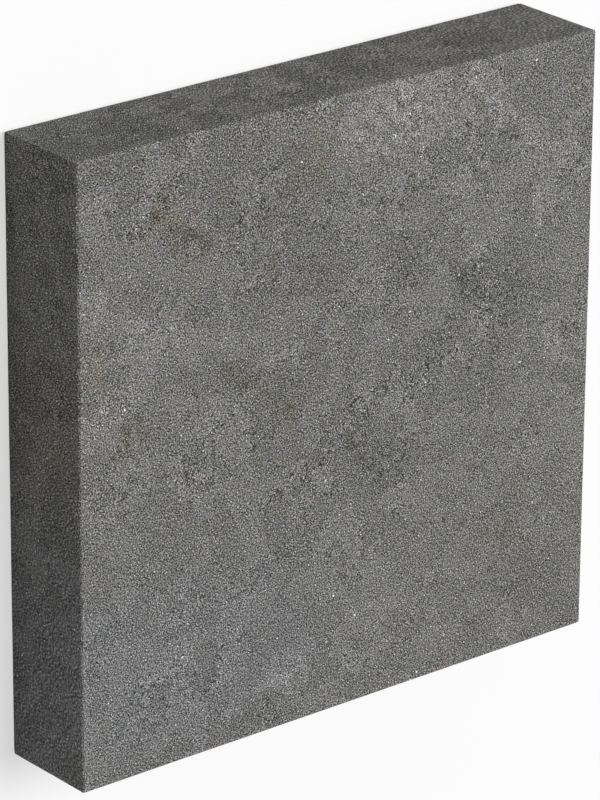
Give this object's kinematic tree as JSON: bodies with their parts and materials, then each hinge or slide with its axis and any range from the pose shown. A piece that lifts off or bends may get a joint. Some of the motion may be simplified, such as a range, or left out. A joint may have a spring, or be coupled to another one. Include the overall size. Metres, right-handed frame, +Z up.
{
  "type": "stoneware floor tile",
  "caption": "Thick square unglazed stoneware floor tile: flat speckled grey wearing face, straight sides with a fine arris, and a keyed back for bedding in mortar or adhesive.",
  "frame": {"origin": "centre of the bedding plane, under the middle of the tile", "axes": "+Z up out of the wearing face, +X and +Y along the edges"},
  "size_m": [0.1, 0.1, 0.018],
  "materials": {
    "stoneware": "matte"
  },
  "bodies": {
    "root": {"tile": "stoneware"}
  },
  "joints": []
}
